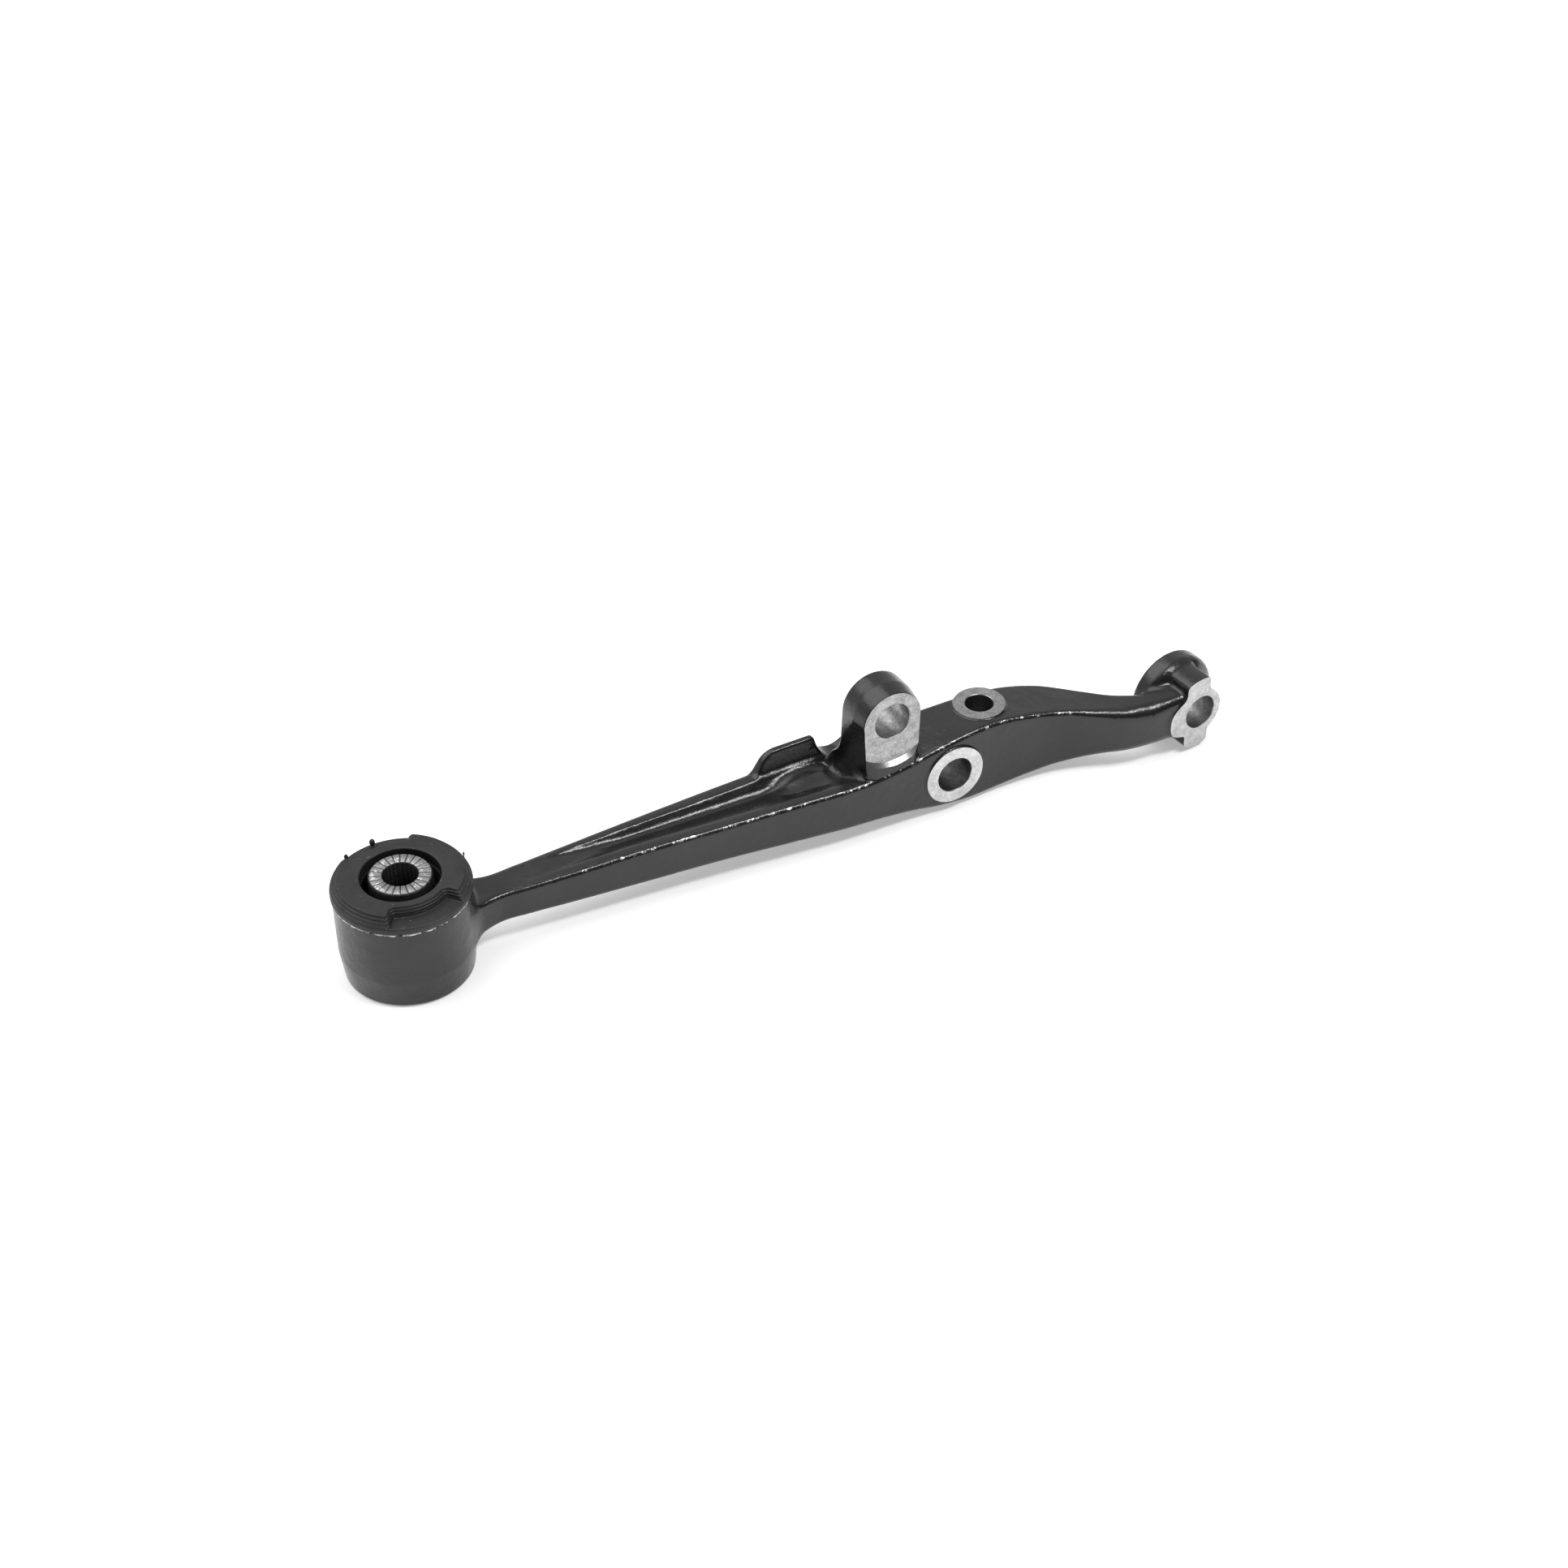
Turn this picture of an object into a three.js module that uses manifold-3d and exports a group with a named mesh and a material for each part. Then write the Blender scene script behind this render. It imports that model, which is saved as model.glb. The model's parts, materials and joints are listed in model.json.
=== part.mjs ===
// Lower control arm: a forged lateral link with a pressed-in rubber bush.
//
// The arm lies as it rests on a bench. Z is the bush axis, X runs along the link to the
// ball-joint eye, and -Y is the machined side. Units are millimetres.
//
// Shapes are worked out in a bush frame, whose origin is on the bush axis at bench level.
// The last lines move the whole group so that its box is centred over the origin.

import * as THREE from "three";
import { mergeVertices } from "three/addons/utils/BufferGeometryUtils.js";
import Module from "manifold-3d";

const wasm = await Module();
wasm.setup();

// ---------------------------------------------------------------- driving dimensions

const GAP = 0.3; // clearance left between pieces that are pressed or bonded together
const MID_Z = 19.6; // the forging's parting plane
const TURN = Math.PI * 2;
const degrees = THREE.MathUtils.degToRad;

const SLEEVE = { bore: 7.1, radius: 12.9, length: 46.9, bevel: 0.5 };
const HOUSING = { radius: 27.6, foot: 26.0, bore: 23.3, low: 0.6, waist: 13.4, top: 39.2, edge: 0.8 };
const SHELL = { inner: 21.2, outer: 23.0, low: 1.4, flangeRadius: 25.4, flange: 1.7 };
const CORE = {
  inner: SLEEVE.radius + GAP,
  outer: SHELL.inner - GAP,
  low: 3.0,
  grooveRadius: 16.0,
  grooveDepth: 9,
  dish: 3,
};
const STOP = { inner: 16.1, top: 46.5, topRadius: 25.3, radius: 28.2, skirt: 39.5, ledge: 42.2 };
const NOTCHES = [
  { middle: degrees(-88), half: degrees(37), radius: 19.4 },
  { middle: degrees(92), half: degrees(34), radius: 20.4 },
];

// Link stations: x, front y, back y and height of the section.
const LINK = [
  [18, -17.0, 14.0, 16.4],
  [27, -12.4, 9.8, 15.2],
  [36, -9.9, 7.0, 14.6],
  [50, -10.7, 7.0, 14.8],
  [65, -12.1, 7.4, 15.5],
  [99, -14.7, 8.2, 17.4],
  [135, -18.0, 9.4, 18.2],
  [171, -21.8, 9.4, 20.2],
  [190, -23.8, 9.3, 21.0],
  [205, -24.2, 8.6, 22.6],
  [220, -24.0, 7.0, 26.6],
  [235, -23.8, 5.0, 32.4],
  [248, -23.4, 3.4, 35.4],
  [264, -22.7, 2.9, 35.2],
  [278, -23.6, 2.4, 32.0],
  [294, -26.5, -1.8, 27.4],
  [310, -33.2, -12.4, 23.4],
  [319, -37.5, -19.4, 22.4],
  [328, -39.8, -24.4, 21.6],
  [350, -40.3, -28.6, 20.0],
];
const LINK_CORNER = 3.0;

// backEdge is the y of the rear rim's inner edge; front and back are how far the walls lean in.
const POCKET = { from: 58, full: 96, to: 203, rimFront: 5.1, backEdge: 2.8, web: 5.6, front: 1.6, back: 2.4 };
const LUG = { from: 161, rampEnd: 166.5, to: 191.5, front: 6.2, back: 9.6, top: 38.2, root: 24 };

const EAR = { x: 211, z: 56.4, headRadius: 13.8, footHalf: 15, front: -24.4, face: -21.2, back: -4.2 };
const EAR_HOLE = 8.1;
const EAR_CUTTER = 20.3; // the spot-facing cutter is wider than the ear and bites the link

const TOP_BOSS = { x: 262.1, y: -7.4, radius: 11.1, hole: 6.1, rise: 18.4 };
const SIDE_BOSS = { x: 240, radius: 13.6, hole: 8.1, face: -24.9, back: 5.6 };

const EYE = { x: 355.1, y: -39.8, turn: degrees(6), wall: 11.3, depth: 22 };
const TAPER = { small: 7.75, large: 8.85 };
const EYE_RIB = { from: -8, to: 4, reach: 17.4 };
const BELL = { radius: 19.4, throat: 12, front: 11, rim: 14.5, aside: -1.0 };

// ---------------------------------------------------------------- solid helpers

function toManifold(geometry) {
  const bare = geometry.clone();
  bare.deleteAttribute("normal");
  bare.deleteAttribute("uv");
  const merged = mergeVertices(bare, 1e-4);
  return new wasm.Manifold(new wasm.Mesh({
    numProp: 3,
    vertProperties: new Float32Array(merged.attributes.position.array),
    triVerts: new Uint32Array(merged.index.array),
  }));
}

function toGeometry(solid) {
  const mesh = solid.getMesh();
  const geometry = new THREE.BufferGeometry();
  geometry.setAttribute("position", new THREE.BufferAttribute(mesh.vertProperties, 3));
  geometry.setIndex(new THREE.BufferAttribute(mesh.triVerts, 1));
  geometry.computeVertexNormals();
  return geometry;
}

// A solid of revolution about Z from a closed list of [radius, z] points.
function turned(profile, segments = 48) {
  const points = profile.map(([radius, z]) => new THREE.Vector2(radius, z));
  points.push(points[0].clone());
  return new THREE.LatheGeometry(points, segments).rotateX(Math.PI / 2);
}

// A round bar along Z, or along Y when upright is false, between two ends.
function bar(radius, low, high, upright = true, segments = 32, endRadius = radius) {
  const rod = new THREE.CylinderGeometry(endRadius, radius, high - low, segments);
  rod.translate(0, (low + high) / 2, 0);
  return upright ? rod.rotateX(Math.PI / 2) : rod;
}

// An outline drawn in X and Z, given thickness from one y to another.
function plate(shape, front, back) {
  const slab = new THREE.ExtrudeGeometry(shape, {
    depth: back - front,
    bevelEnabled: false,
    curveSegments: 20,
  });
  return slab.rotateX(Math.PI / 2).translate(0, back, 0);
}

// A closed skin through rings that all have the same number of points.
function loft(rings) {
  const count = rings[0].length;
  const positions = rings.flat(2);
  const faces = [];
  for (let r = 0; r < rings.length - 1; r += 1) {
    for (let i = 0; i < count; i += 1) {
      const a = r * count + i;
      const b = r * count + ((i + 1) % count);
      faces.push(a, b, b + count, a, b + count, a + count);
    }
  }
  const last = (rings.length - 1) * count;
  for (let i = 1; i < count - 1; i += 1) {
    faces.push(0, i + 1, i);
    faces.push(last, last + i, last + i + 1);
  }
  const geometry = new THREE.BufferGeometry();
  geometry.setAttribute("position", new THREE.Float32BufferAttribute(positions, 3));
  geometry.setIndex(faces);
  return geometry;
}

// A rounded rectangle in Y and Z at one x.
function roundedRing(x, front, back, low, high, corner, steps = 3) {
  const ring = [];
  const corners = [[back, high], [front, high], [front, low], [back, low]];
  corners.forEach(([y, z], quarter) => {
    const inY = y === back ? y - corner : y + corner;
    const inZ = z === high ? z - corner : z + corner;
    for (let i = 0; i <= steps; i += 1) {
      const angle = (quarter + i / steps) * (TURN / 4);
      ring.push([x, inY + corner * Math.cos(angle), inZ + corner * Math.sin(angle)]);
    }
  });
  return ring;
}

// The link's section at any x, by straight lines between the stations.
function linkAt(x) {
  const next = LINK.findIndex((station) => station[0] >= x);
  const [a, b] = [LINK[Math.max(next - 1, 0)], LINK[Math.max(next, 0)]];
  const share = a === b ? 0 : (x - a[0]) / (b[0] - a[0]);
  const [front, back, height] = [1, 2, 3].map((i) => a[i] + (b[i] - a[i]) * share);
  return { front, back, height };
}

// ---------------------------------------------------------------- forging

function linkBody() {
  return loft(LINK.map(([x, front, back, height]) => (
    roundedRing(x, front, back, MID_Z - height / 2, MID_Z + height / 2, LINK_CORNER)
  )));
}

// The long pocket that makes the link an I-section. side is 1 for the top, -1 for below.
function pocket(side) {
  const rings = [];
  const count = 8;
  for (let i = 0; i <= count; i += 1) {
    const x = THREE.MathUtils.lerp(POCKET.from, POCKET.to, i / count);
    const { front, height } = linkAt(x);
    const over = MID_Z + side * (height / 2 + 1);
    const depth = Math.min(1, (x - POCKET.from) / (POCKET.full - POCKET.from));
    const floor = MID_Z + side * THREE.MathUtils.lerp(height / 2, POCKET.web, depth);
    const f = front + POCKET.rimFront;
    const b = POCKET.backEdge;
    const ring = [[x, b, over], [x, f, over], [x, f + POCKET.front, floor], [x, b - POCKET.back, floor]];
    rings.push(side > 0 ? ring : ring.reverse());
  }
  return loft(rings);
}

function housing() {
  return turned([
    [0, HOUSING.low],
    [HOUSING.foot - HOUSING.edge, HOUSING.low],
    [HOUSING.foot, HOUSING.low + HOUSING.edge],
    [HOUSING.radius, HOUSING.waist],
    [HOUSING.radius, HOUSING.top - HOUSING.edge],
    [HOUSING.radius - HOUSING.edge, HOUSING.top],
    [0, HOUSING.top],
  ], 56);
}

function lug() {
  const outline = new THREE.Shape();
  outline.moveTo(LUG.from, LUG.root);
  outline.lineTo(LUG.to, LUG.root);
  outline.lineTo(LUG.to, LUG.top - 3);
  outline.absarc(LUG.to - 3, LUG.top - 3, 3, 0, Math.PI / 2);
  outline.lineTo(LUG.rampEnd, LUG.top - 1);
  outline.lineTo(LUG.from, LUG.root + 6);
  return plate(outline, LUG.front, LUG.back);
}

function ear() {
  const outline = new THREE.Shape();
  outline.moveTo(EAR.x - EAR.footHalf - 4, MID_Z);
  outline.lineTo(EAR.x + EAR.footHalf + 6, MID_Z);
  outline.lineTo(EAR.x + EAR.footHalf + 4, MID_Z + 15);
  outline.lineTo(EAR.x + EAR.footHalf, MID_Z + 21);
  outline.absarc(EAR.x, EAR.z, EAR.headRadius, 0, Math.PI);
  outline.lineTo(EAR.x - EAR.footHalf, MID_Z + 18);
  outline.lineTo(EAR.x - EAR.footHalf - 4, MID_Z + 10);
  return plate(outline, EAR.front, EAR.back);
}

// Turns a shape that was built along Y about the eye's own axis into the link.
function atEye(geometry) {
  return geometry.rotateZ(EYE.turn).translate(EYE.x, EYE.y, MID_Z);
}

function eyeTube() {
  return atEye(bar(EYE.wall, 0, EYE.depth, false));
}

// Two ribs tie the eye's machined face to the bell, one above and one below the bore.
function eyeRib(side) {
  const width = EYE_RIB.to - EYE_RIB.from;
  const rib = new THREE.BoxGeometry(width, BELL.front + 2, EYE_RIB.reach);
  rib.translate((EYE_RIB.from + EYE_RIB.to) / 2, (BELL.front + 2) / 2, (side * EYE_RIB.reach) / 2);
  return atEye(rib);
}

// The bell is the round flange behind the eye that the ball joint's boot seals on.
function bell() {
  const flange = turned([
    [0, BELL.front - 4],
    [BELL.throat, BELL.front - 4],
    [BELL.radius - 3, BELL.front],
    [BELL.radius, BELL.rim],
    [BELL.radius, EYE.depth],
    [0, EYE.depth],
  ], 40);
  return atEye(flange.rotateX(-Math.PI / 2).translate(BELL.aside, 0, 0));
}

function forging() {
  const added = [
    linkBody(),
    housing(),
    lug(),
    ear(),
    bar(TOP_BOSS.radius, MID_Z - TOP_BOSS.rise, MID_Z + TOP_BOSS.rise).translate(TOP_BOSS.x, TOP_BOSS.y, 0),
    bar(SIDE_BOSS.radius, SIDE_BOSS.face, SIDE_BOSS.back, false).translate(SIDE_BOSS.x, 0, MID_Z),
    eyeTube(),
    eyeRib(1),
    eyeRib(-1),
    bell(),
  ];
  const far = 60;
  const removed = [
    pocket(1),
    pocket(-1),
    bar(HOUSING.bore, -far, far * 2, true, 48),
    bar(EAR_CUTTER, -far, EAR.face, false, 48).translate(EAR.x, 0, EAR.z),
    bar(EAR_HOLE, -far, far, false).translate(EAR.x, 0, EAR.z),
    bar(TOP_BOSS.hole, -far, far * 2).translate(TOP_BOSS.x, TOP_BOSS.y, 0),
    bar(SIDE_BOSS.hole, -far, far, false).translate(SIDE_BOSS.x, 0, MID_Z),
    atEye(bar(TAPER.small, -1, EYE.depth + 1, false, 32, TAPER.large)),
    atEye(new THREE.BoxGeometry(60, 10, 60).translate(0, -5, 0)),
  ];
  const join = (solid, geometry) => solid.add(toManifold(geometry));
  const cut = (solid, geometry) => solid.subtract(toManifold(geometry));
  const raw = added.slice(1).reduce(join, toManifold(added[0]));
  return toGeometry(removed.reduce(cut, raw));
}

// ---------------------------------------------------------------- bush

function innerSleeve() {
  return turned([
    [SLEEVE.bore, 0],
    [SLEEVE.radius - SLEEVE.bevel, 0],
    [SLEEVE.radius, SLEEVE.bevel],
    [SLEEVE.radius, SLEEVE.length - SLEEVE.bevel],
    [SLEEVE.radius - SLEEVE.bevel, SLEEVE.length],
    [SLEEVE.bore, SLEEVE.length],
  ]);
}

// The steel shell is pressed into the housing until its flange meets the rim.
function outerShell() {
  const seat = HOUSING.top + GAP;
  return turned([
    [SHELL.inner, SHELL.low],
    [SHELL.outer, SHELL.low],
    [SHELL.outer, seat],
    [SHELL.flangeRadius, seat],
    [SHELL.flangeRadius, seat + SHELL.flange],
    [SHELL.inner, seat + SHELL.flange],
  ]);
}

// The rubber between sleeve and shell, hollowed at both ends so that it can twist.
function rubberCore() {
  const top = HOUSING.top + GAP + SHELL.flange;
  return turned([
    [CORE.inner, CORE.low + CORE.dish],
    [CORE.grooveRadius, CORE.low + CORE.dish],
    [CORE.outer, CORE.low],
    [CORE.outer, top],
    [CORE.grooveRadius, top],
    [CORE.grooveRadius - 0.6, top - CORE.grooveDepth + 2],
    [CORE.inner, top - CORE.grooveDepth],
  ]);
}

// The rubber flange on top takes end load. Two notches in its rim let it give.
function stopFlange() {
  const under = HOUSING.top + SHELL.flange + 2 * GAP;
  const ring = toManifold(turned([
    [STOP.inner, under],
    [SHELL.flangeRadius + GAP, under],
    [SHELL.flangeRadius + GAP, STOP.skirt],
    [STOP.radius - 0.6, STOP.skirt],
    [STOP.radius, STOP.skirt + 0.8],
    [STOP.radius - 0.4, STOP.ledge],
    [STOP.topRadius, STOP.top],
    [STOP.inner, STOP.top],
  ], 60));
  const notched = NOTCHES.reduce((solid, { middle, half, radius }) => {
    const wedge = new THREE.Shape();
    wedge.absarc(0, 0, radius, middle - half, middle + half);
    wedge.absarc(0, 0, STOP.radius + 4, middle + half, middle - half, true);
    const cutter = new THREE.ExtrudeGeometry(wedge, { depth: 20, bevelEnabled: false, curveSegments: 8 });
    return solid.subtract(toManifold(cutter.translate(0, 0, STOP.ledge)));
  }, ring);
  return toGeometry(notched);
}

// ---------------------------------------------------------------- assembly

const MATERIALS = {
  paint: new THREE.MeshStandardMaterial({ color: 0x141414, roughness: 0.32, metalness: 0.0 }),
  zinc: new THREE.MeshStandardMaterial({ color: 0xb4b4b2, roughness: 0.38, metalness: 1.0 }),
  coated: new THREE.MeshStandardMaterial({ color: 0x3c3c3c, roughness: 0.45, metalness: 0.6 }),
  rubber: new THREE.MeshStandardMaterial({ color: 0x1c1c1c, roughness: 0.75, metalness: 0.0 }),
};

const PIECES = [
  ["arm_forging", forging(), MATERIALS.paint],
  ["bush_outer_shell", outerShell(), MATERIALS.coated],
  ["bush_rubber_core", rubberCore(), MATERIALS.rubber],
  ["bush_stop_flange", stopFlange(), MATERIALS.rubber],
  ["bush_inner_sleeve", innerSleeve(), MATERIALS.zinc],
];

const controlArm = new THREE.Group();
PIECES.forEach(([name, geometry, material]) => {
  const mesh = new THREE.Mesh(geometry, material);
  mesh.name = name;
  controlArm.add(mesh);
});

const box = new THREE.Box3().setFromObject(controlArm);
const middle = box.getCenter(new THREE.Vector3());
controlArm.position.set(-middle.x, -middle.y, -box.min.z);

export default controlArm;
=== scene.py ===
"""Lower control arm: one painted forging with machined bosses, and a pressed-in rubber bush.

Shapes are worked out in a bush frame in millimetres: its origin is on the bush axis at bench
level, +X runs along the link to the ball-joint eye and -Y is the machined side. place() turns
bush-frame points into the row frame in metres.
"""
import json
import math

import bmesh
import bpy
import numpy as np
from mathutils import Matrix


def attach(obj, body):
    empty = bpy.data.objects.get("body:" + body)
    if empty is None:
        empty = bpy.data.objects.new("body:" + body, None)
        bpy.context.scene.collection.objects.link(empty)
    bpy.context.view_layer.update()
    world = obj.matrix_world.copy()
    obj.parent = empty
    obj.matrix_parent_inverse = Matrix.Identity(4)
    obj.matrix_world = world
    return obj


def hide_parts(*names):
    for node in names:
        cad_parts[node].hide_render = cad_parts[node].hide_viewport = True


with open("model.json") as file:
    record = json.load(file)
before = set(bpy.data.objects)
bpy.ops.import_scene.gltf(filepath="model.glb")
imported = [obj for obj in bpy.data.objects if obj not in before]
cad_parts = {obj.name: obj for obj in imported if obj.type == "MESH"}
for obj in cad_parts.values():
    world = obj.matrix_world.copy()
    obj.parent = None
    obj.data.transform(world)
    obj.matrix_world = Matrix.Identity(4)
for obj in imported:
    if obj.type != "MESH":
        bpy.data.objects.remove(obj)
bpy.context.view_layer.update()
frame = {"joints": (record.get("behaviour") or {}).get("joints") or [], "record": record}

import openvdb
from mathutils import Matrix, Vector

MM = 0.001
TURN = 2 * math.pi

# ---------------------------------------------------------------- the frame's own places

BUSH = np.array([*frame["joints"][0]["pos_m"][:2], 0.0])


def in_bush(point):
    """A row-frame point in metres, as bush-frame millimetres."""
    return (np.array(point, float) - BUSH) / MM


def place(points):
    """Bush-frame millimetres, as row-frame metres."""
    return np.asarray(points, float) * MM + BUSH


MOUNTS = {mount["name"]: mount for mount in frame["record"]["mounts"]}
OPENINGS = {gap["name"]: gap["box_m"] for gap in frame["record"]["physics"]["openings"]}


def hole_at(opening, near, far):
    """A machined hole: where its axis meets the near face, that face's normal, and its depth."""
    middle = in_bush(np.mean(OPENINGS[opening], axis=0))
    normal = np.array(MOUNTS[near]["axis"], float)
    face = in_bush(MOUNTS[near]["pos_m"])
    back = in_bush(MOUNTS[far]["pos_m"])
    centre = middle + normal * ((face - middle) @ normal)
    return {"centre": centre, "normal": normal, "depth": (face - back) @ normal}


DAMPER = hole_at("damper_bolt_hole", "damper_bolt_face_upper", "damper_bolt_face_lower")
BOSS = hole_at("strut_boss_hole", "strut_bolt_boss_face", "strut_bolt_boss_back")
EAR = hole_at("strut_ear_hole", "strut_bolt_ear_face", "strut_bolt_ear_back")
EYE = hole_at("ball_joint_taper", "ball_joint_nut_face", "ball_joint_seat_face")
HOLES = (DAMPER, BOSS, EAR, EYE)
MID_Z = BOSS["centre"][2]
SLEEVE_TOP = in_bush(MOUNTS["sleeve_upper_face"]["pos_m"])[2]

# ---------------------------------------------------------------- driving dimensions

HOUSING = {"radius": 27.6, "foot": 26.0, "bore": 23.3, "low": 0.6, "waist": 13.4, "top": 39.2}

# Link stations: x, front y, back y and height of the section.
LINK = np.array([
    [18, -17.0, 14.0, 16.4],
    [27, -12.4, 9.8, 15.2],
    [36, -9.9, 7.0, 14.6],
    [50, -10.7, 7.0, 14.8],
    [65, -12.1, 7.4, 15.5],
    [99, -14.7, 8.2, 17.4],
    [135, -18.0, 9.4, 18.2],
    [171, -21.8, 9.4, 20.2],
    [190, -23.8, 9.3, 21.0],
    [205, -24.2, 8.6, 22.6],
    [220, -24.0, 7.0, 26.6],
    [235, -23.8, 5.0, 32.4],
    [248, -23.4, 3.4, 35.4],
    [264, -22.7, 2.9, 35.2],
    [278, -23.6, 2.4, 32.0],
    [294, -26.5, -1.8, 27.4],
    [310, -33.2, -12.4, 23.4],
    [319, -37.5, -19.4, 22.4],
    [328, -39.8, -24.4, 22.2],
    [350, -40.3, -28.6, 20.8],
])
NECK = {
    "stations": (295, 330, 348),
    "front_edge": (2.4, 6.0, 3.2),
    "back_edge": (3.4, 5.0, 5.0),
    "lift": (0, 0.2, 1.3),
}

POCKET = {"start": 58, "full": 96, "end": 198, "rim_front": 5.1, "wall": 2.8, "web": 4.7}
POCKET_SLOPE = {"wall": 50, "ramp": 24}
BULGE = {"middle": (179.5, -4.0, 23.6), "size": (12.5, 7.0, 4.6)}
LUG = {"foot": (161.5, 31.0), "ramp": 56, "end": 191.5, "top": 38.2, "edge": 4.0}
LUG_WALL = {"front": 6.4, "back": 9.2, "draft": 18}
SADDLE = {"x": 198.5, "z": 36.0, "radius": 8.5, "front": 2.0}
EAR_HEAD = {"radius": 14.7, "flare": 0.05, "front": 2.0, "edge": 1.6}
EAR_FILLET = {"y": (-23, -19, -4, 1.5, 4.5), "radius": (0.4, 3.5, 5.0, 6.0, 11.0)}
EAR_ROOT = {"back": 8.4, "top": 30.4, "hollow": 13.0}
EAR_DRAFT = {"front": 0.16, "back": 0.015, "nose": 1.2, "ridge": -14.0, "bend": 57.0, "lean": 0.6}
EAR_CUTTER = {"radius": 20.3, "flare": 2.2, "rise": 2.9}
BOLT_HOLE = 8.1
DAMPER_BOSS = {"radius": 11.1, "hole": 6.1}
SIDE_BOSS = {"radius": 13.6, "hole": 8.1}
EYE_WALL = 11.3
SHOULDER = {"low": (-15.7, -9.0), "high": (2.0, 6.6), "corner": 6.8, "depth": 8.0}
TAPER = {"small": 7.75, "large": 8.85}
LOBES = {"from": -8.0, "to": 4.8, "reach": 17.5}
BELL = {"radius": 19.4, "aside": -1.0, "crown": 6.1, "curve": 0.0223}

# ---------------------------------------------------------------- distance-field helpers

FAR = 40.0


def round_union(a, b, r):
    """Two shapes joined, with a round fillet of radius r where they meet at a right angle."""
    near = np.hypot(np.maximum(r - a, 0), np.maximum(r - b, 0))
    return np.maximum(r, np.minimum(a, b)) - near


def round_common(a, b, r):
    """What two shapes share, with its new edge rounded to radius r."""
    return -round_union(-a, -b, r)


def block(p, low, high, edge):
    """A box in two or three coordinates with edges rounded to radius edge."""
    inside = None
    outside = 0
    for value, start, end in zip(p, low, high):
        q = np.abs(value - (start + end) / 2) - (end - start) / 2 + edge
        inside = q if inside is None else np.maximum(inside, q)
        outside = outside + np.maximum(q, 0) ** 2
    return np.minimum(inside, 0) + np.sqrt(outside) - edge


def stub(radial, along, radius, low, high, edge):
    """A round bar from its radial and axial coordinates, with its rims rounded."""
    side = radial - radius
    ends = np.abs(along - (low + high) / 2) - (high - low) / 2
    return round_common(side, ends, edge)


def through(stations, values, x):
    """A smooth curve through the stations, sampled at x."""
    slope = np.gradient(values, stations)
    i = np.clip(np.searchsorted(stations, x) - 1, 0, len(stations) - 2)
    step = stations[i + 1] - stations[i]
    t = np.clip((x - stations[i]) / step, 0, 1)
    start = (2 * t**3 - 3 * t**2 + 1) * values[i] + (t**3 - 2 * t**2 + t) * step * slope[i]
    end = (3 * t**2 - 2 * t**3) * values[i + 1] + (t**3 - t**2) * step * slope[i + 1]
    return start + end


class Field:
    """A signed distance field on a regular grid in the bush frame, negative inside."""

    def __init__(self, low, high, pitch):
        self.pitch = pitch
        self.low = np.array(low, float)
        self.axes = [np.arange(a, b, pitch, dtype=np.float32) for a, b in zip(low, high)]
        self.d = np.full([len(axis) for axis in self.axes], FAR, np.float32)

    def window(self, low, high):
        """The grid cells inside a box, and their x, y and z."""
        spans = zip(self.axes, zip(low, high))
        cells = tuple(slice(*np.searchsorted(axis, ends)) for axis, ends in spans)
        x, y, z = (axis[cut] for axis, cut in zip(self.axes, cells))
        return cells, x[:, None, None], y[None, :, None], z[None, None, :]

    def join(self, shape, low, high, fillet):
        cells, x, y, z = self.window(low, high)
        radius = fillet(x, y, z) if callable(fillet) else fillet
        self.d[cells] = round_union(self.d[cells], shape(x, y, z), radius)

    def cut(self, shape, low, high, edge):
        cells, x, y, z = self.window(low, high)
        self.d[cells] = round_common(self.d[cells], -shape(x, y, z), edge)

    def mesh(self, name):
        """The zero surface, as a smooth-shaded mesh object in the row frame."""
        grid = openvdb.FloatGrid()
        grid.background = 3 * self.pitch
        grid.copyFromArray(np.clip(self.d, -3 * self.pitch, 3 * self.pitch))
        points, quads = grid.convertToQuads(isovalue=0.0)
        return solid(name, points * self.pitch + self.low, quads)


def solid(name, points, faces):
    """A mesh object in the row frame from bush-frame points and their faces."""
    mesh = bpy.data.meshes.new(name)
    mesh.from_pydata(place(points).tolist(), [], [list(map(int, face)) for face in faces])
    mesh.update()
    mesh.shade_smooth()
    piece = bpy.data.objects.new(name, mesh)
    bpy.context.scene.collection.objects.link(piece)
    return piece


# ---------------------------------------------------------------- the forging's raw shape

def link_at(x):
    """Front y, back y and half height of the link at each x."""
    front, back, height = (through(LINK[:, 0], LINK[:, i], x) for i in (1, 2, 3))
    return front, back, height / 2


def link_body(x, y, z):
    front, back, half = link_at(x)
    slope = np.gradient((front + back) / 2, x.ravel(), axis=0)
    half_width = (back - front) / 2
    across = y - (front + back) / 2
    names = ("front_edge", "back_edge", "lift")
    front_edge, back_edge, lift = (np.interp(x, NECK["stations"], NECK[name]) for name in names)
    edge = np.where(across < 0, front_edge, back_edge)
    q = np.abs(across) - half_width + edge
    r = np.abs(z - MID_Z - lift) - half + edge
    section = np.minimum(np.maximum(q, r), 0) + np.hypot(np.maximum(q, 0), np.maximum(r, 0)) - edge
    section = section / np.sqrt(1 + slope**2)
    ends = np.abs(x - (LINK[0, 0] + LINK[-1, 0]) / 2) - (LINK[-1, 0] - LINK[0, 0]) / 2
    return np.maximum(section, ends)


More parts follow.
